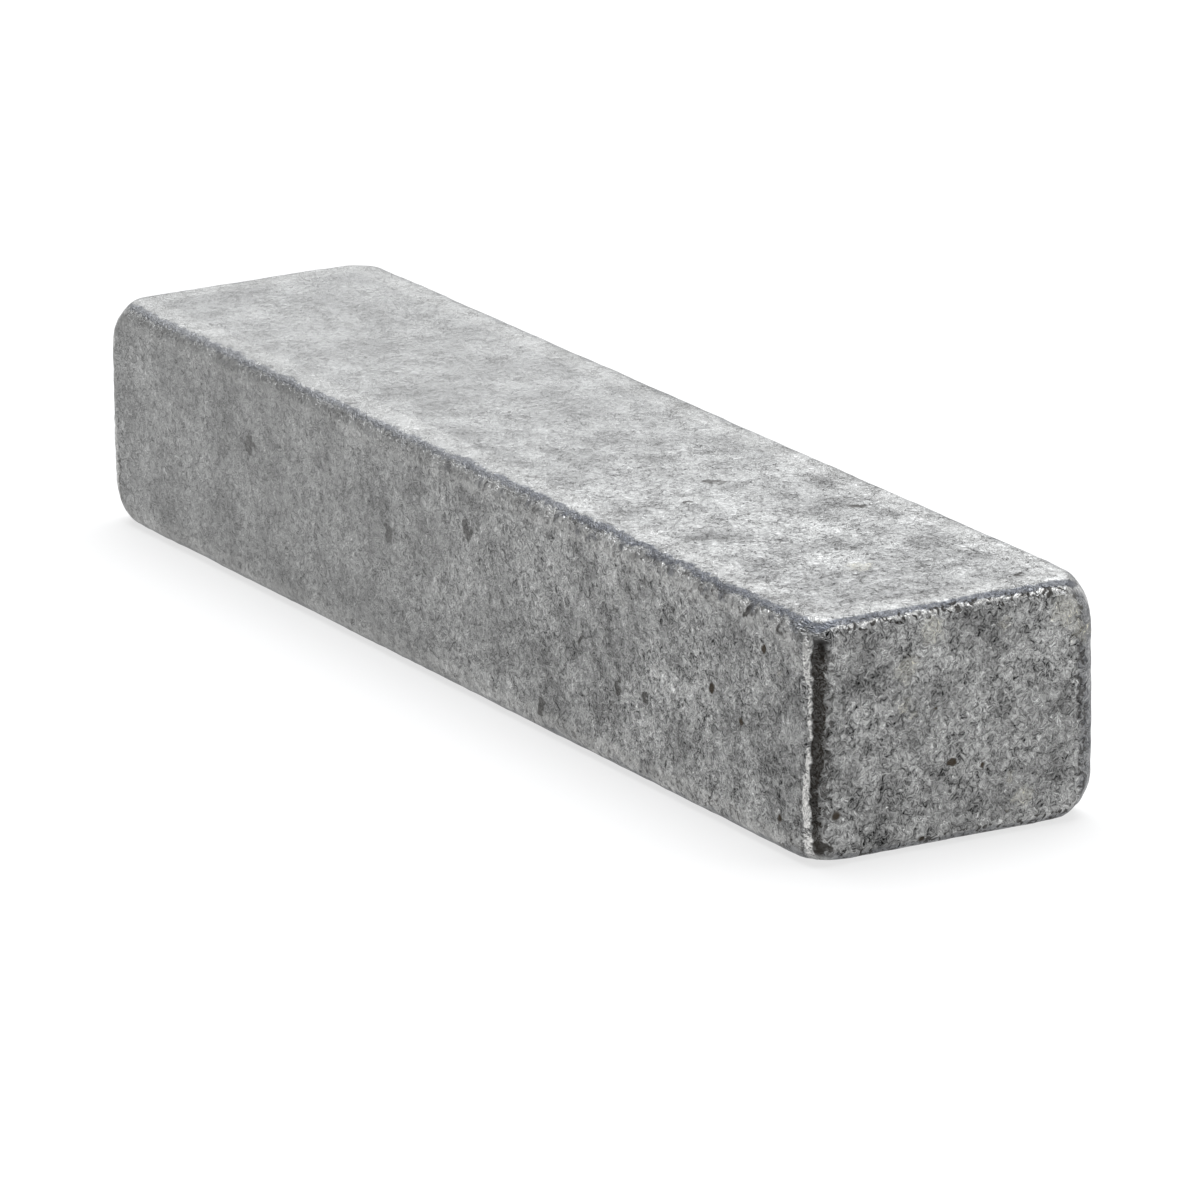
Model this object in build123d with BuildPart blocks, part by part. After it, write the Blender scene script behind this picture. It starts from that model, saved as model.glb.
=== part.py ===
from build123d import *

import os
from math import copysign

# Square-ended parallel key of the rectangular inch series: one piece of drawn
# key steel, sawn to length and then barrel-tumbled, which breaks every edge
# with the same small round and wears each corner back to a blunt dome.
#
# Frame, in millimetres: X runs along the key, Y across its two flanks and Z
# up. The origin is the middle of the face that seats in the shaft.

# Driving dimensions
key_width = 6.35  # 1/4 in between the flanks, which carry the torque
key_height = 4.7625  # 3/16 in from the floor of the shaft's seat to the hub
key_length = 28.575  # 1-1/8 in between the two sawn ends
edge_radius = 0.33  # round along each of the twelve edges
corner_wear = 0.8  # how far along each edge a corner is worn back

# The dome over a worn corner, a little under the radius at which the rounds
# on the three sides of the planed-off tip would meet in its middle
dome_radius = 0.75 * corner_wear

AXES = (Axis.X, Axis.Y, Axis.Z)


def wear_plane(corner):
    """The plane that takes a corner's tip off, square to its diagonal."""
    outward = Vector(
        copysign(1, corner.X),
        copysign(1, corner.Y),
        copysign(1, corner.Z - key_height / 2),
    )
    worn_end = corner.center() - Vector(outward.X * corner_wear, 0, 0)
    return Plane(origin=worn_end, z_dir=outward)


with BuildPart() as parallel_key:
    # The drawn bar, sawn to length
    with BuildSketch(Plane.YZ.offset(-key_length / 2)):
        Rectangle(key_width, key_height, align=(Align.CENTER, Align.MIN))
    extrude(amount=key_length)

    # The eight corners, planed off and then blended into a dome
    for corner in parallel_key.vertices():
        split(bisect_by=wear_plane(corner), keep=Keep.BOTTOM)
    tip_edges = parallel_key.edges()
    for axis in AXES:
        tip_edges = tip_edges.filter_by(axis, reverse=True)
    fillet(tip_edges, radius=dome_radius)

    # The twelve edges between them
    bar_edges = ShapeList()
    for axis in AXES:
        bar_edges += parallel_key.edges().filter_by(axis)
    fillet(bar_edges, radius=edge_radius)

parallel_key.part.label = "parallel_key"

os.makedirs("parts", exist_ok=True)
export_step(parallel_key.part, "parts/parallel_key.step")
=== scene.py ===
from functools import reduce
from math import radians, sqrt

import bmesh
import bpy
from mathutils import Matrix, Vector


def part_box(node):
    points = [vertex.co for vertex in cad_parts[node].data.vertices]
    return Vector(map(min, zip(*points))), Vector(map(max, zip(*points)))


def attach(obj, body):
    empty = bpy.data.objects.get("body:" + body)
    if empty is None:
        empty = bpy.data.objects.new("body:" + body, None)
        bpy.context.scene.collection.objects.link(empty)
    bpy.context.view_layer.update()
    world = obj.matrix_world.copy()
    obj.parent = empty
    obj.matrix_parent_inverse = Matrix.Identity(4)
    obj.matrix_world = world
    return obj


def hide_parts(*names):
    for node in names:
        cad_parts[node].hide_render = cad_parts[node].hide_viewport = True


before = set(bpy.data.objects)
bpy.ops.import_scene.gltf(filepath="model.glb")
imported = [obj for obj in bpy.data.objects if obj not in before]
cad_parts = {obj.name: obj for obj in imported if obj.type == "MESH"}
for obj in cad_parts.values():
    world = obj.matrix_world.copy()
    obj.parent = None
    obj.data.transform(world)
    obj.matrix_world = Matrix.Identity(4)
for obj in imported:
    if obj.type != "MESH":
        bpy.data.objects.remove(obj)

# A square-ended parallel key of bare key steel, as it comes out of the tumbling
# barrel: matt, finely mottled faces, a burr rolled over along its sawn ends,
# dark scale left in the rounds of its edges and a few specks of rust. Light and
# shade are painted along the edges too: highlights on the burrs and the rubbed
# steel, a sheen on the top's border, shadow by the sawn burrs and dark
# reflections in the rounds.

bl_info = {
    "name": "Tumbled Parallel Key",
    "version": (1, 0, 0),
    "blender": (4, 5, 0),
    "location": "View3D > Sidebar > Shaft Key",
    "description": "Models a barrel-tumbled parallel key and the studio it stands in",
    "category": "Add Mesh",
}

NODE = "parallel_key"
PIECE = "tumbled_key"

MM = 0.001
LOW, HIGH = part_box(NODE)
CENTRE = (LOW + HIGH) / 2
HALF = (HIGH - LOW) / 2 / MM  # half the key's length, width and height, in mm

# The mesh is cut finer near the key's edges, and smoothed round its corners
ROUND_SEGMENTS = 8
FINE_REACH = (1.4, 0.6, 0.6)  # how far in from each edge the fine cuts go, in mm, by axis
FINE_SPACING = 0.05
MIDDLE_SPACING = (0.1, 0.14, 0.14)
SMOOTH_ROUNDS = 12
STRAIGHT = 0.0001  # how far out of line an edge of the mesh may lie and count as straight

# Marks on the faces: the place and the radius of each, in mm. X 14.3 is the first sawn
# end, Y -3.2 the front flank and Z 4.76 the top.
RUST = (
    (14.3, -0.08, 1.63, 0.1),
    (14.3, -2.63, 0.99, 0.1),
    (14.3, 0.60, 1.45, 0.06),
    (14.3, -0.48, 2.72, 0.06),
    (14.3, -0.75, 0.18, 0.1),
    (10.6, -3.2, 2.63, 0.12),
    (11.7, -3.2, 2.27, 0.09),
    (12.55, -3.2, 3.9, 0.1),
    (13.08, -3.2, 0.68, 0.1),
)
CREAM = (
    (14.3, -0.53, 4.3, 0.25),
    (14.3, 1.06, 4.16, 0.14),
    (14.3, 1.18, 1.12, 0.12),
    (14.3, 1.5, 0.74, 0.2),
    (14.3, -1.03, 3.62, 0.25),
    (14.3, -1.1, 2.83, 0.2),
    (14.2, 2.45, 4.2, 0.3),
    (14.3, 1.14, 0.51, 0.07),
    (14.2, 2.8, 3.75, 0.25),
    (13.13, -3.2, 3.5, 0.06),
    (11.3, -0.3, 4.76, 0.25),
)
# Where the cracks of the grain are dark with dirt
DIRT = (
    (14.3, -2.15, 2.77, 0.3),
    (14.3, 0.39, 2.49, 0.3),
    (14.3, -2.1, 0.3, 0.4),
    (14.3, 0.5, 0.42, 0.15),
    (14.3, 2.5, 1.3, 0.25),
    (12.65, -3.2, 3.45, 0.25),
    (10.4, -3.2, 3.0, 0.35),
    (10.4, -3.2, 2.0, 0.35),
)
# Where the front flank is rubbed bright below its corner
RUBBED = (
    (13.75, -3.2, 4.0, 0.25),
    (13.35, -3.2, 4.25, 0.3),
    (12.9, -3.2, 4.45, 0.25),
)
PITS = (
    (14.18, -2.92, 0.36, 0.17),
    (11.9, -3.2, 4.5, 0.16),
    (13.1, -3.2, 4.4, 0.1),
    (9.58, -3.2, 2.05, 0.08),
    (8.06, -3.2, 1.8, 0.13),
    (7.06, -3.2, 1.74, 0.12),
    (5.58, -3.2, 2.4, 0.14),
    (4.0, -3.2, 0.6, 0.17),
    (1.1, -3.2, 3.4, 0.2),
    (-2.1, -3.2, 2.64, 0.2),
    (-8.0, -3.2, 3.04, 0.22),
    (13.35, 1.95, 4.76, 0.13),
    (7.7, 1.9, 4.76, 0.18),
    (5.7, -0.8, 4.76, 0.15),
    (4.7, 0.4, 4.76, 0.2),
)

AXES = (Vector((1, 0, 0)), Vector((0, 1, 0)), Vector((0, 0, 1)))

# Shifts that keep noises of one kind from repeating each other
SHIFTS = {
    "scratch": Vector((4.1, 8.3, 2.7)),
    "crack": Vector((9.2, 1.3, 6.1)),
    "flakes": Vector((6.6, 3.2, 1.8)),
    "blotches": Vector((2.2, 7.1, 5.4)),
    "pits": Vector((3.1, 1.7, 5.3)),
}

# The studio: places in metres, and colours
AIM = Vector((0.84, 0, 1.45)) * MM  # the point that the camera looks at
TOP_SOFTBOX = Vector((-0.15, 0.1, 0.6))
RIGHT_SOFTBOX = Vector((0.45, 0.5, 0.35))
COOL = (0.98, 1, 1.02)
NEUTRAL = (1, 1, 1)
PAPER = (0.88, 0.88, 0.88)
GLOW_SHARE = 0.7  # how much of the paper shows as plain white, the rest taking the shadow
ROOM_BACK = Vector((-0.72, 0.55, 0.42))  # the way to the room's lighter side
ROOM_DARK = (0.2, 0.2, 0.2)
ROOM_LIGHT = (1.1, 1.1, 1.1)
ROOM_STRENGTH = 0.7


# ---------------------------------------------------------------- properties


class KeyShape(bpy.types.PropertyGroup):
    """Sizes that tumbling and sawing leave on the key."""

    edge_radius: bpy.props.FloatProperty(
        name="Edge radius",
        description="Round along each edge",
        default=0.33 * MM,
        min=0.1 * MM,
        max=1 * MM,
        unit="LENGTH",
    )
    corner_start: bpy.props.FloatProperty(
        name="Corner dome",
        description="How far from each corner its dome begins",
        default=1.15 * MM,
        min=0.5 * MM,
        max=2 * MM,
        unit="LENGTH",
    )
    corner_depth: bpy.props.FloatProperty(
        name="Corner depth",
        description="How far the tip of each corner is worn away",
        default=0.455 * MM,
        min=0.2 * MM,
        unit="LENGTH",
    )
    unevenness: bpy.props.FloatProperty(
        name="Unevenness",
        description="Height of the waves in the faces",
        default=0.02 * MM,
        min=0,
        max=0.1 * MM,
        unit="LENGTH",
    )
    edge_wear: bpy.props.FloatProperty(
        name="Edge wear",
        description="Height of the knocks along the edges",
        default=0.045 * MM,
        min=0,
        max=0.2 * MM,
        unit="LENGTH",
    )
    burr: bpy.props.FloatProperty(
        name="Burr",
        description="Height of the rolled burr along the sawn ends",
        default=0.05 * MM,
        min=0,
        max=0.2 * MM,
        unit="LENGTH",
    )


class KeyFinish(bpy.types.PropertyGroup):
    """Colours of the tumbled steel and of what lies on it; three of them also paint light and
    shade along the edges.
    """

    steel: bpy.props.FloatVectorProperty(
        name="Steel",
        description="Colour of the tumbled faces",
        subtype="COLOR",
        default=(0.335, 0.336, 0.333),
    )
    # Also the painted highlights on the burrs and the rubbed edges, and the painted sheen on the top's
    # border
    bright: bpy.props.FloatVectorProperty(
        name="Bright steel",
        description="Colour of the rubbed burrs",
        subtype="COLOR",
        default=(0.9, 0.89, 0.87),
    )
    # Also painted as the shadow by the sawn burrs and, with the scale, as the dark reflection in the
    # front rounds of the ends
    scale: bpy.props.FloatVectorProperty(
        name="Scale",
        description="Colour of the dark scale left in the edges",
        subtype="COLOR",
        default=(0.036, 0.032, 0.028),
    )
    # Also painted as the dark reflection in the rounds of the long edges
    oxide_and_dark_reflection: bpy.props.FloatVectorProperty(
        name="Oxide",
        description="Colour of the bluish film in the rounds",
        subtype="COLOR",
        default=(0.12, 0.127, 0.145),
    )
    cream: bpy.props.FloatVectorProperty(
        name="Cream",
        description="Colour of the pale dried flecks",
        subtype="COLOR",
        default=(0.72, 0.69, 0.56),
    )
    rust: bpy.props.FloatVectorProperty(
        name="Rust",
        description="Colour of the rust specks",
        subtype="COLOR",
        default=(0.032, 0.018, 0.004),
    )


class KeyStudio(bpy.types.PropertyGroup):
    """The floor, the lamps and the camera."""

    floor_size: bpy.props.FloatProperty(
        name="Floor",
        description="Side of the square floor",
        default=3.0,
        min=0.5,
        unit="LENGTH",
    )
    top_power: bpy.props.FloatProperty(
        name="Top softbox",
        description="Power of the lamp overhead",
        default=5.75,
        min=0,
        unit="POWER",
    )
    right_power: bpy.props.FloatProperty(
        name="Right softbox",
        description="Power of the lamp on the right",
        default=0.9,
        min=0,
        unit="POWER",
    )
    camera_distance: bpy.props.FloatProperty(
        name="Camera distance",
        description="From the camera to the key",
        default=0.2062,
        min=0.05,
        unit="LENGTH",
    )
    focal_length: bpy.props.FloatProperty(
        name="Focal length",
        description="Focal length of the camera's lens, in mm",
        default=310.6,
        min=10,
        unit="CAMERA",
    )
    azimuth: bpy.props.FloatProperty(
        name="Azimuth",
        description="Camera's direction, from behind -Y towards +X",
        subtype="ANGLE",
        default=radians(60.26),
    )
    elevation: bpy.props.FloatProperty(
        name="Elevation",
        description="Camera's height above the horizon",
        subtype="ANGLE",
        default=radians(16.37),
    )
    roll: bpy.props.FloatProperty(
        name="Roll",
        description="Camera's turn about its own line of sight",
        subtype="ANGLE",
        default=radians(-0.7),
    )


# ------------------------------------------------------------------ modelling


def deselect_all():
    if bpy.context.mode != "OBJECT":
        bpy.ops.object.mode_set(mode="OBJECT")
    bpy.ops.object.select_all(action="DESELECT")


def in_mm(length):
    """A length in metres, as the panel keeps it, in mm."""
    return length / MM


def edge_gaps(point):
    """How far a point of the centred key lies inside its three pairs of faces, in mm."""
    return Vector(half - abs(along) for half, along in zip(HALF, point))


def ease(value, low, high):
    """0 below low, 1 above high and a smooth rise between them."""
    t = min(max((value - low) / (high - low), 0), 1)
    return t * t * (3 - 2 * t)


def select_edges(piece, chosen):
    """In edit mode, selects the edges for which chosen(one end, other end) is true."""
    bpy.ops.mesh.select_all(action="DESELECT")
    bpy.context.tool_settings.mesh_select_mode = (False, True, False)
    mesh = bmesh.from_edit_mesh(piece.data)
    for edge in mesh.edges:
        if chosen(edge.verts[0].co, edge.verts[1].co):
            edge.select_set(True)
    bmesh.update_edit_mesh(piece.data)


def grade_along(piece, axis, limits, spacings):
    """Cuts the key across an axis at the limits, and then each span to its own spacing."""
    normal = AXES[axis]
    for limit in limits[1:-1]:
        bpy.ops.mesh.select_all(action="SELECT")
        bpy.ops.mesh.bisect(plane_co=normal * limit, plane_no=normal)
    for low, high, spacing in zip(limits, limits[1:], spacings):

        def spans(a, b):
            length = (b - a).length
            lengthways = length - abs(b[axis] - a[axis]) < STRAIGHT
            return lengthways and low < (a[axis] + b[axis]) / 2 < high and length > spacing

        select_edges(piece, spans)
        bpy.ops.mesh.subdivide(number_cuts=max(1, round((high - low) / spacing) - 1))


def add_bar(shape):
    """The key as a bar with rounded edges, in mm about the origin, cut finer near its edges."""
    edge_radius = in_mm(shape.edge_radius)
    deselect_all()
    bpy.ops.mesh.primitive_cube_add(size=2, scale=HALF)
    bpy.ops.object.transform_apply(scale=True)
    piece = bpy.context.object
    piece.name = piece.data.name = PIECE
    bpy.ops.object.mode_set(mode="EDIT")
    bpy.ops.mesh.select_all(action="SELECT")
    bpy.ops.mesh.bevel(offset=edge_radius, segments=ROUND_SEGMENTS, profile=0.5, affect="EDGES")
    for axis in range(3):
        flat = HALF[axis] - edge_radius
        inner = flat - FINE_REACH[axis]
        limits = (-flat, -inner, inner, flat)
        grade_along(piece, axis, limits, (FINE_SPACING, MIDDLE_SPACING[axis], FINE_SPACING))
    bpy.ops.object.mode_set(mode="OBJECT")
    return piece


def weigh(piece, name, weight_at):
    """A vertex group whose weights follow each vertex's place."""
    group = piece.vertex_groups.new(name=name)
    for vertex in piece.data.vertices:
        weight = weight_at(vertex.co)
        if weight > 0:
            group.add([vertex.index], weight, "REPLACE")
    return name


def apply_modifier(piece, kind, **settings):
    modifier = piece.modifiers.new(kind.title(), kind)
    for name, value in settings.items():
        setattr(modifier, name, value)
    bpy.context.view_layer.objects.active = piece
    bpy.ops.object.modifier_apply(modifier=modifier.name)


def dome_corners(piece, shape):
    """Wears each corner back to part of a sphere, and blends it into the edges round it."""
    start = in_mm(shape.corner_start)
    depth = in_mm(shape.corner_depth)
    # The sphere passes the tip at its depth, and meets the edges' rounds where the dome starts
    root2 = sqrt(2)
    root3 = sqrt(3)
    lean = in_mm(shape.edge_radius) * (1 - root2)
    inset = (lean**2 + start**2 - depth**2) / (2 * start - 2 * root3 * depth - 2 * root2 * lean)
    radius = root3 * inset - depth
    for vertex in piece.data.vertices:
        if max(edge_gaps(vertex.co)) < inset:
            side = Vector(1 if along > 0 else -1 for along in vertex.co)
            middle = side * (HALF - Vector((inset, inset, inset)))
            away = vertex.co - middle
            if away.length > radius:
                vertex.co = middle + away * (radius / away.length)

    def near_corner(co):
        return 1 - ease(max(edge_gaps(co)), start * 0.8, start * 1.4)

    group = weigh(piece, "near corner", near_corner)
    apply_modifier(piece, "SMOOTH", factor=0.5, iterations=SMOOTH_ROUNDS, vertex_group=group)


def roughen(piece, name, size, height, group="", level=0.5, depth=2):
    """Raises and sinks the surface by clouds of a size in mm, which are flat at a level."""
    texture = bpy.data.textures.new(name, "CLOUDS")
    texture.noise_scale = size
    texture.noise_depth = depth
    apply_modifier(
        piece,
        "DISPLACE",
        texture=texture,
        texture_coords="LOCAL",
        strength=height,
        mid_level=level,
        vertex_group=group,
    )


def knock_about(piece, shape):
    """The unevenness of the faces and what the barrel's knocks leave along the edges."""
    radius = in_mm(shape.edge_radius)
    wear = in_mm(shape.edge_wear)
    roughen(piece, "waves", 1.7, in_mm(shape.unevenness))

    def on_edge(co):
        gaps = sorted(edge_gaps(co))
        return 1 - ease(gaps[1], radius * 0.8, radius * 2)

    group = weigh(piece, "edges", on_edge)
    roughen(piece, "worn", 1.3, wear * 0.6, group)
    roughen(piece, "knocked", 0.35, wear * 0.5, group)


def roll_burrs(piece, shape):
    """The burr that sawing leaves round each end, rolled down by tumbling."""

    def on_burr(co):
        gaps = edge_gaps(co)
        across = min(gaps.y, gaps.z)
        along_edge = 1 - ease(abs(gaps.x - across - 0.02), 0.05, 0.12)
        return along_edge * (1 - ease(max(gaps.x, across), 0.3, 0.5))

    group = weigh(piece, "burr", on_burr)
    roughen(piece, "burr", 0.3, in_mm(shape.burr), group, level=0.35, depth=3)


def fit_to_frame(piece):
    """Brings the key from mm to its real size and place, inside the box of the node."""
    points = [vertex.co for vertex in piece.data.vertices]
    low = Vector(min(point[axis] for point in points) for axis in range(3))
    high = Vector(max(point[axis] for point in points) for axis in range(3))
    size = HIGH - LOW
    stretch = Matrix.Diagonal([size[axis] / (high - low)[axis] for axis in range(3)]).to_4x4()
    piece.data.transform(Matrix.Translation(CENTRE) @ stretch @ Matrix.Translation(-(low + high) / 2))


# ------------------------------------------------------------------- finishes


class Wire:
    """A shader socket on which Python's operators add Math and Vector Math nodes."""

    def __init__(self, graph, socket):
        self.graph = graph
        self.socket = socket

    def _math(self, operation, *values):
        if self.socket.type == "VALUE":
            return self.graph.add("ShaderNodeMath", {"operation": operation}, *values)
        if operation == "MULTIPLY" and isinstance(values[1], (int, float)):
            return self.graph.scaled(*values)
        return self.graph.add("ShaderNodeVectorMath", {"operation": operation}, *values)

    def __add__(self, other):
        return self._math("ADD", self, other)

    __radd__ = __add__

    def __sub__(self, other):
        return self._math("SUBTRACT", self, other)

    def __rsub__(self, other):
        return self._math("SUBTRACT", other, self)

    def __mul__(self, other):
        return self._math("MULTIPLY", self, other)

    __rmul__ = __mul__

    def __abs__(self):
        return self._math("ABSOLUTE", self)

    def least(self, other):
        return self._math("MINIMUM", self, other)

    def most(self, other):
        return self._math("MAXIMUM", self, other)


class Graph:
    """The node tree of a material or of the world, and the few nodes used most."""

    def __init__(self, tree):
        self.tree = tree
        tree.nodes.clear()

    def add(self, kind, settings=None, *values, output=0, **named):
        """A node of a kind: its settings first, then its sockets in order or by name."""
        node = self.tree.nodes.new(kind)
        for name, value in (settings or {}).items():
            setattr(node, name, value)
        sockets = list(zip(node.inputs, values))
        sockets += [(node.inputs[name.replace("_", " ")], value) for name, value in named.items()]
        for socket, value in sockets:
            self.feed(socket, value)
        return Wire(self, node.outputs[output]) if node.outputs else node

    def feed(self, socket, value):
        """Links a wire to a socket, or sets the socket to a number, vector or colour."""
        if isinstance(value, Wire):
            self.tree.links.new(value.socket, socket)
        elif socket.type == "RGBA":
            socket.default_value = (*value[:3], 1)
        else:
            socket.default_value = value

    def output_of(self, wire, name):
        """Another output of the node that a wire comes from."""
        return Wire(self, wire.socket.node.outputs[name])

    def parts(self, vector):
        """The X, Y and Z of a vector."""
        x = self.add("ShaderNodeSeparateXYZ", {}, vector)
        return x, self.output_of(x, "Y"), self.output_of(x, "Z")

    def scaled(self, vector, factor):
        """A vector or a colour times a number."""
        return self.add("ShaderNodeVectorMath", {"operation": "SCALE"}, vector, Scale=factor)

    def rise(self, value, low, high):
        """0 below low, 1 above high and a smooth rise between them."""
        settings = {"interpolation_type": "SMOOTHSTEP"}
        return self.add("ShaderNodeMapRange", settings, Value=value, From_Min=low, From_Max=high)

    def fall(self, value, low, high):
        return 1 - self.rise(value, low, high)

    def band(self, value, low, high, soft):
        """1 between low and high, with soft borders about them."""
        return self.rise(value, low - soft, low + soft) * self.fall(value, high - soft, high + soft)

    def mix(self, factor, first, second):
        """The second colour laid over the first."""
        # Mix keeps the sockets of its other data types, so the colours are found by number
        mixed = self.add("ShaderNodeMix", {"data_type": "RGBA"}, factor, output=2)
        self.feed(mixed.socket.node.inputs[6], first)
        self.feed(mixed.socket.node.inputs[7], second)
        return mixed

    def noise(self, point, size, detail=0, roughness=0.5, output=0):
        """Noise from 0 to 1 with a mean of 0.5, in grains of a size in mm."""
        return self.add(
            "ShaderNodeTexNoise",
            {},
            Vector=point,
            Scale=1 / size,
            Detail=detail,
            Roughness=roughness,
            output=output,
        )

    def lines(self, point, size, width):
        """Thin curled lines, found where a noise passes through its mean."""
        return self.fall(abs(self.noise(point, size) - 0.5), 0, width)

    def speckle(self, point, size, share, spot):
        """Spots of about a radius, in mm, in a share of the cells of a size in mm."""
        cells = self.add("ShaderNodeTexVoronoi", {}, Vector=point, Scale=1 / size)
        lot = self.add("ShaderNodeSeparateColor", {}, self.output_of(cells, "Color"))
        chosen = self.fall(lot, share, share + 0.01)
        return self.fall(cells, spot / size * 0.6, spot / size * 1.2) * chosen


def marks_at(g, point, marks):
    """1 inside the spots of the list, each given by its place and its radius in mm."""
    spots = []
    for *place, radius in marks:
        settings = {"operation": "DISTANCE"}
        away = g.add("ShaderNodeVectorMath", settings, point, Vector(place), output="Value")
        spots.append(g.fall(away, radius * 0.7, radius * 1.25))
    return reduce(Wire.most, spots)


class Surface:
    """What the finish knows of a point of the key, in mm: its place, its grain and its zones."""

    def __init__(self, g):
        self.point = g.add("ShaderNodeTexCoord", {}, output="Object") * (1 / MM)
        centred = self.point - CENTRE / MM
        self.x, self.y, self.z = g.parts(centred)
        self.gap_x, self.gap_y, self.gap_z = g.parts(abs(centred) * -1 + HALF)
        self.add_grain(g)
        self.add_raggedness(g)
        self.add_zones(g)

    def add_grain(self, g):
        """The tumbled grain: broad patches, mottle, fine curled strokes, scratches and cracks."""
        wander = g.noise(self.point, 0.2, detail=1, roughness=0.6, output="Color")
        self.drift = wander - Vector((0.5, 0.5, 0.5))
        self.curled = self.point + self.drift * 0.3
        self.blurred = self.point + self.drift * 0.5
        self.strokes = g.noise(self.curled, 0.05, detail=1, roughness=0.6) - 0.5
        self.curls = g.noise(self.curled, 0.14) - 0.5
        self.mottle = g.noise(self.curled, 0.5, detail=1) - 0.5
        self.patches = g.noise(self.point, 1.3, detail=1) - 0.5
        pale = g.rise(self.mottle + self.curls, -0.02, 0.12)
        dull = g.fall(self.mottle + self.curls, -0.12, 0.02)
        self.scratch = g.lines(self.curled + SHIFTS["scratch"], 0.1, 0.035) * pale
        self.crack = g.lines(self.curled + SHIFTS["crack"], 0.1, 0.035) * dull
        self.relief = self.strokes * 2.6 + self.curls

    def add_raggedness(self, g):
        """Noises that break up whatever follows an edge."""
        self.sway = (g.noise(self.point, 0.8, detail=1) - 0.5) * 0.3
        self.jagged = (g.noise(self.point, 0.16, detail=1) - 0.5) * 0.3
        self.broken = g.noise(self.point, 0.2, detail=2, roughness=0.7)
        self.flaky = g.noise(self.curled + SHIFTS["flakes"], 0.12, detail=1)
        self.blotchy = g.noise(self.curled + SHIFTS["blotches"], 0.5, detail=2)

    def add_zones(self, g):
        """Parts of the key, each 1 inside and 0 outside, with a soft border."""
        self.on_top = g.fall(self.gap_z, 0.05, 0.3)  # and on the underside
        self.on_end = g.fall(self.gap_x, 0.05, 0.3)
        self.above = g.rise(self.z, -0.5, 0.5)  # the upper half
        self.in_front = g.fall(self.y, -1, 1)  # the half with the front flank
        self.first_half = g.rise(self.x, -1, 1)  # the half with the first sawn end
        # The grain is at its plainest on the ends, on the back flank and towards the first end
        ends_and_back = g.fall(self.gap_x, 0.02, 0.2).most(g.rise(self.y, 2.95, 3.15) * 0.8)
        self.crisp = g.rise(self.x, -7, 11).most(ends_and_back)
        # Away from the corner domes
        self.inward = self.gap_x.most(self.gap_y).most(self.gap_z)
        self.clear = g.rise(self.inward + self.sway, 0.45, 0.75)


def steel_shade(g, at, cream, dirt):
    """How light the bare steel is, 1 being its own colour."""
    rough_patch = g.rise(at.patches, -0.1, 0.1)
    grain = at.relief * (0.9 + rough_patch * 0.4)
    grain = grain + at.scratch * (1 + cream * 1.5 + at.on_end * 0.35 - at.on_top * 0.6)
    grain = grain - at.crack * (0.4 + rough_patch * 0.2 + dirt * 2 + at.on_top * 0.6 - at.on_end * 0.12)
    grain = grain * (0.55 + at.crisp * 0.45)
    calm = at.on_top * (1 - at.crisp)
    shade = 1 - calm * 0.06 + grain * (1 - at.on_top * (0.57 - at.crisp * 0.27))
    shade = shade + at.mottle * (0.65 + at.crisp * 0.5 - calm * 0.2)
    return shade + at.patches * (0.7 + at.crisp * 0.3 - calm * 0.15)


def grain_height(g, at):
    """Height of the grain for the bump, which tumbling has eased on the edges and domes."""
    grain = at.relief + at.mottle + at.scratch * 0.8 - at.crack * 0.8
    return grain * (0.3 + g.rise(at.inward, 0.4, 0.9) * 0.7) * (0.6 + at.crisp * 0.4)


def rim_marks(g, at):
    """Round the top and the underside: film in the rounds, partly oxide and partly a painted
    dark reflection; rubbed steel below them, partly a painted highlight; and a painted
    sheen on the top just inside them.
    """
    long = g.rise(at.gap_x - at.gap_y, -0.1, 0.2)
    by_long = g.fall(at.gap_y.most(at.gap_z), 0.5, 0.75) * at.clear
    # How far over the edge a point lies: above 0 on the top, below 0 on the flank
    over = at.gap_x.least(at.gap_y) - at.gap_z + (at.sway + at.jagged) * (0.5 + long * 0.5)

    # The film in the rounds is partly bluish oxide and partly a painted dark reflection, strongest in
    # the upper rounds
    film = g.band(over, 0.02 - (1 - at.above) * 0.14, 0.25, 0.04)
    film = film * (0.76 + g.rise(at.flaky, 0.4, 0.6) * 0.24)
    blotches = g.band(over, -0.28, 0.05, 0.06) * long * g.rise(at.blotchy, 0.53, 0.62)
    film = film.most(blotches * (0.25 + at.crisp * 0.45))
    film = film * g.fall(at.gap_z, 0.5, 0.7) * (0.55 + at.above * 0.38 + at.strokes)
    film = film * (1 - long * (1 - at.in_front) * 0.7) * (0.15 + at.clear.most(at.above) * 0.85)
    film = film * (1 - long * (1 - at.crisp) * 0.35)

    # Painted sheen: the top lightened just inside its rounds, where light from above catches their
    # roll-off
    painted_sheen = g.band(over, 0.34, 0.85, 0.1) * g.fall(at.gap_z, 0.1, 0.2) * at.above
    # Rubbed steel on the flank just below the rounds, lightened partly as a painted highlight
    rub_and_highlight = g.band(over, -0.5, -0.04, 0.08) * by_long * g.rise(at.flaky, 0.3, 0.55)
    bright = (rub_and_highlight * (0.1 + at.crisp * 0.17)).most(painted_sheen * 0.09)

    flakes = g.band(over, -0.42, 0, 0.05) * by_long * g.rise(at.broken + at.sway * 0.4, 0.57, 0.63)
    return bright, film, flakes * at.crisp * 0.6


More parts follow.
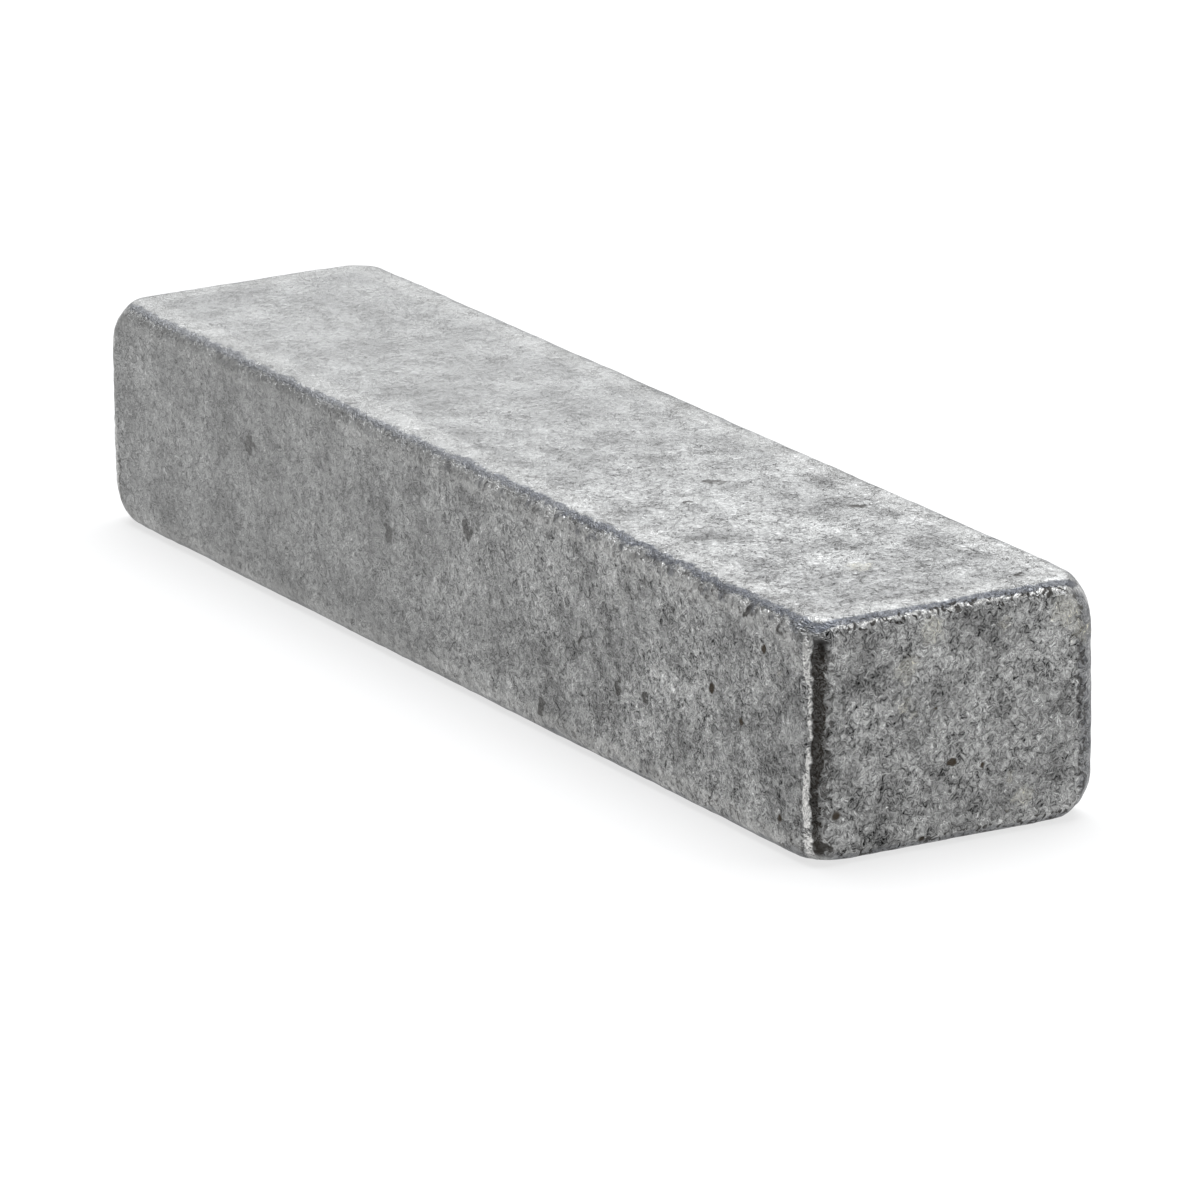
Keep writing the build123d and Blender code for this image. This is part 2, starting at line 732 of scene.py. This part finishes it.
def sawn_edge_marks(g, at):
    """Along the top and bottom of the first end: a broken burr, lighter on the top edge as a
    painted highlight, between dark gaps painted as its shadow.
    """
    by_end = g.fall(at.gap_x.most(at.gap_z), 0.5, 0.75) * at.clear * at.first_half
    over = at.gap_x - at.gap_z + (at.sway + at.jagged) * 0.5
    burr = g.band(over, -0.08, 0.03, 0.03) * g.rise(at.broken + at.curls * 0.5, 0.42, 0.5) * by_end
    # Dark gaps along the burr: a painted shadow
    gaps = g.band(over, -0.22, 0.12, 0.03) * g.rise(at.flaky + at.sway * 0.8, 0.56, 0.61) * by_end
    # The burr's pale colour is partly burnished steel and partly a painted highlight, far stronger on
    # the top edge
    bright = burr * (0.15 + at.above * 0.5) * (0.85 + at.strokes * 2.5)
    return bright, gaps * 0.85


def upright_edge_marks(g, at):
    """Down the ends: a bright burr on the flank, partly a painted highlight; scale in the front
    rounds, partly a painted dark reflection; film in the back.
    """
    low = g.fall(at.z, -0.9, 0)
    middle = g.band(at.z, -0.3, 0.9, 0.3)
    wide = low.most(g.rise(at.z, 1, 1.5))
    by_upright = g.fall(at.gap_x.most(at.gap_y), 0.5, 0.7)
    by_upright = by_upright * g.rise(at.gap_z + at.sway + low * 0.1, 0.17, 0.38)
    # How far over the edge a point lies: above 0 on the flank, below 0 on the end
    over = at.gap_x - at.gap_y + at.sway * 0.4 + at.jagged * 0.8 + at.above * 0.05

    unbroken = g.rise(at.broken + at.strokes * 0.4 - middle * 0.12, 0.28, 0.42)
    burr = g.band(over, 0.12, 0.2 + wide * 0.14, 0.025) * unbroken * by_upright
    # The burr's pale colour is partly burnished steel and partly a painted highlight, stronger on the
    # first end
    bright = burr * (0.4 + at.first_half * 0.5) * (0.85 + at.strokes * 2.5)

    film = g.rise(over, -0.48, -0.3) * by_upright * (1 - at.in_front)

    # Scale in the front rounds of the ends, made darker as a painted dark reflection
    scale_and_dark_reflection = g.rise(over - low * 0.13 + at.strokes * 0.2, -0.33, -0.21) * g.fall(over, 0.06, 0.11)
    scale_and_dark_reflection = scale_and_dark_reflection * by_upright * at.in_front * (0.66 + at.first_half * 0.22 + at.strokes * 1.5)
    line = g.band(over, 0.4, 0.45, 0.02) * g.rise(at.flaky, 0.45, 0.5) * by_upright * low
    fringe = g.band(over, -0.42, -0.2, 0.03) * g.rise(at.flaky, 0.49, 0.55) * by_upright
    return bright, film * 0.42, scale_and_dark_reflection.most(line * 0.75).most(fringe * 0.65)


def finish_steel(colours):
    """Bare steel as the barrel leaves it, with painted highlights, shadow and dark
    reflections along its edges.
    """
    material = bpy.data.materials.new("tumbled_steel")
    material.use_nodes = True
    g = Graph(material.node_tree)
    at = Surface(g)
    cream = marks_at(g, at.blurred, CREAM)
    dirt = marks_at(g, at.blurred, DIRT)
    rubbed = marks_at(g, at.blurred, RUBBED)
    rust = marks_at(g, at.point + at.drift * 0.17, RUST)
    plain_pits = marks_at(g, at.blurred, PITS) * (0.5 + at.crisp * 0.3)
    small_pits = g.speckle(at.blurred + SHIFTS["pits"], 1.1, 0.3, 0.1)
    pits = plain_pits.most(small_pits * 0.4)

    rim_rub_and_sheen, rim_film_and_reflection, rim_dark = rim_marks(g, at)
    sawn_bright, sawn_painted_shadow = sawn_edge_marks(g, at)
    upright_bright, upright_film, upright_scale_and_reflection = upright_edge_marks(g, at)
    # Burnished burrs and rubbed steel, partly painted highlights, and a painted sheen on the top's
    # border
    bright = sawn_bright.most(upright_bright).most(rim_rub_and_sheen).most(rubbed * 0.16)
    # Film in the rounds: partly oxide, partly a painted dark reflection
    film = rim_film_and_reflection.most(upright_film)
    # Dark along the edges: scale and flakes, a painted shadow by the sawn burrs and a painted dark
    # reflection in the front rounds
    dark = upright_scale_and_reflection.most(sawn_painted_shadow).most(rim_dark)

    colour = g.scaled(tuple(colours.steel), steel_shade(g, at, cream, dirt))
    colour = g.mix(bright, colour, colours.bright)
    colour = g.mix(film, colour, colours.oxide_and_dark_reflection)
    colour = g.mix(dark, colour, colours.scale)
    colour = g.mix(cream * (0.13 + at.scratch * 0.8), colour, colours.cream)
    colour = g.mix(pits, colour, colours.scale)
    colour = g.mix(rust * 0.95, colour, colours.rust)

    bump = g.add("ShaderNodeBump", {}, Strength=1, Distance=0.016 * MM, Height=grain_height(g, at))
    shader = g.add(
        "ShaderNodeBsdfPrincipled",
        {},
        Base_Color=colour,
        Metallic=1 - rust * 0.95,
        Roughness=0.5 + at.mottle * 0.3 + rust * 0.3,
        Normal=bump,
    )
    g.add("ShaderNodeOutputMaterial", {}, shader)
    return material


def finish_floor():
    """White paper that shows as white, and still takes the key's shadow."""
    material = bpy.data.materials.new("white_paper")
    material.use_nodes = True
    g = Graph(material.node_tree)
    paper = g.add("ShaderNodeBsdfDiffuse", {}, PAPER)
    glow = g.add("ShaderNodeEmission", {}, NEUTRAL, 1)
    path = g.add("ShaderNodeLightPath")
    seen = path + g.output_of(path, "Is Glossy Ray") + g.output_of(path, "Is Transmission Ray")
    both = g.add("ShaderNodeMixShader", {}, seen.least(1) * GLOW_SHARE, paper, glow)
    g.add("ShaderNodeOutputMaterial", {}, both)
    return material


# ---------------------------------------------------------------------- studio


def add_floor(studio):
    deselect_all()
    bpy.ops.mesh.primitive_plane_add(size=studio.floor_size)
    floor = bpy.context.object
    floor.name = "floor"
    floor.data.materials.append(finish_floor())


def add_lamp(name, place, size, power, tint):
    """A square softbox aimed at the key."""
    deselect_all()
    bpy.ops.object.light_add(type="AREA", location=place)
    lamp = bpy.context.object
    lamp.name = name
    lamp.rotation_euler = (CENTRE - lamp.location).to_track_quat("-Z", "Y").to_euler()
    lamp.data.size = size
    lamp.data.color = tint
    lamp.data.energy = power


def light_room():
    """The dim room round the softboxes, lighter behind the key than before it."""
    world = bpy.data.worlds.new("room")
    world.use_nodes = True
    bpy.context.scene.world = world
    g = Graph(world.node_tree)
    way = g.add("ShaderNodeTexCoord", {}, output="Generated")
    back = g.add("ShaderNodeVectorMath", {"operation": "DOT_PRODUCT"}, way, ROOM_BACK, output="Value")
    tone = g.mix(g.rise(back, -0.1, 0.9), ROOM_DARK, ROOM_LIGHT)
    g.add("ShaderNodeOutputWorld", {}, g.add("ShaderNodeBackground", {}, tone, ROOM_STRENGTH))


def aim_camera(studio):
    camera = bpy.data.objects.new("camera", bpy.data.cameras.new("camera"))
    bpy.context.scene.collection.objects.link(camera)
    bpy.context.scene.camera = camera
    tilt = Matrix.Rotation(radians(90) - studio.elevation, 3, "X")
    turn = Matrix.Rotation(studio.azimuth, 3, "Z") @ tilt
    place = AIM + turn @ Vector((0, 0, studio.camera_distance))
    roll = Matrix.Rotation(studio.roll, 3, "Z")
    camera.matrix_world = Matrix.Translation(place) @ (turn @ roll).to_4x4()
    camera.data.sensor_width = 36
    camera.data.lens = studio.focal_length
    camera.data.clip_start = 0.01
    camera.data.clip_end = 10


# ------------------------------------------------------------------- operators


class KEY_OT_add_tumbled_key(bpy.types.Operator):
    """Models the tumbled key in the place of its CAD node"""

    bl_idname = "key.add_tumbled_key"
    bl_label = "Add Tumbled Key"

    def execute(self, context):
        shape = context.scene.key_shape
        piece = add_bar(shape)
        dome_corners(piece, shape)
        knock_about(piece, shape)
        roll_burrs(piece, shape)
        fit_to_frame(piece)
        bpy.ops.object.shade_smooth()
        piece.data.materials.append(finish_steel(context.scene.key_finish))
        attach(piece, "root")
        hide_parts(NODE)
        return {"FINISHED"}


class KEY_OT_set_studio(bpy.types.Operator):
    """Sets up the floor, the lamps and the camera"""

    bl_idname = "key.set_studio"
    bl_label = "Set Studio"

    def execute(self, context):
        studio = context.scene.key_studio
        add_floor(studio)
        add_lamp("top_softbox", TOP_SOFTBOX, size=0.6, power=studio.top_power, tint=COOL)
        add_lamp("right_softbox", RIGHT_SOFTBOX, size=0.4, power=studio.right_power, tint=NEUTRAL)
        light_room()
        aim_camera(studio)
        context.scene.view_settings.view_transform = "Standard"
        return {"FINISHED"}


class KEY_PT_panel(bpy.types.Panel):
    """The key's sizes, colours and steps"""

    bl_label = "Parallel Key"
    bl_space_type = "VIEW_3D"
    bl_region_type = "UI"
    bl_category = "Shaft Key"

    def draw(self, context):
        scene = context.scene
        for group in (scene.key_shape, scene.key_finish, scene.key_studio):
            for name in group.__annotations__:
                self.layout.prop(group, name)
        for operator in (KEY_OT_add_tumbled_key, KEY_OT_set_studio):
            self.layout.operator(operator.bl_idname)


CLASSES = (KeyShape, KeyFinish, KeyStudio, KEY_OT_add_tumbled_key, KEY_OT_set_studio, KEY_PT_panel)


def register():
    for kind in CLASSES:
        bpy.utils.register_class(kind)
    bpy.types.Scene.key_shape = bpy.props.PointerProperty(type=KeyShape)
    bpy.types.Scene.key_finish = bpy.props.PointerProperty(type=KeyFinish)
    bpy.types.Scene.key_studio = bpy.props.PointerProperty(type=KeyStudio)


def unregister():
    del bpy.types.Scene.key_shape, bpy.types.Scene.key_finish, bpy.types.Scene.key_studio
    for kind in reversed(CLASSES):
        bpy.utils.unregister_class(kind)


def main():
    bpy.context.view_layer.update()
    register()
    bpy.ops.key.set_studio()
    bpy.ops.key.add_tumbled_key()


if __name__ == "__main__":
    main()
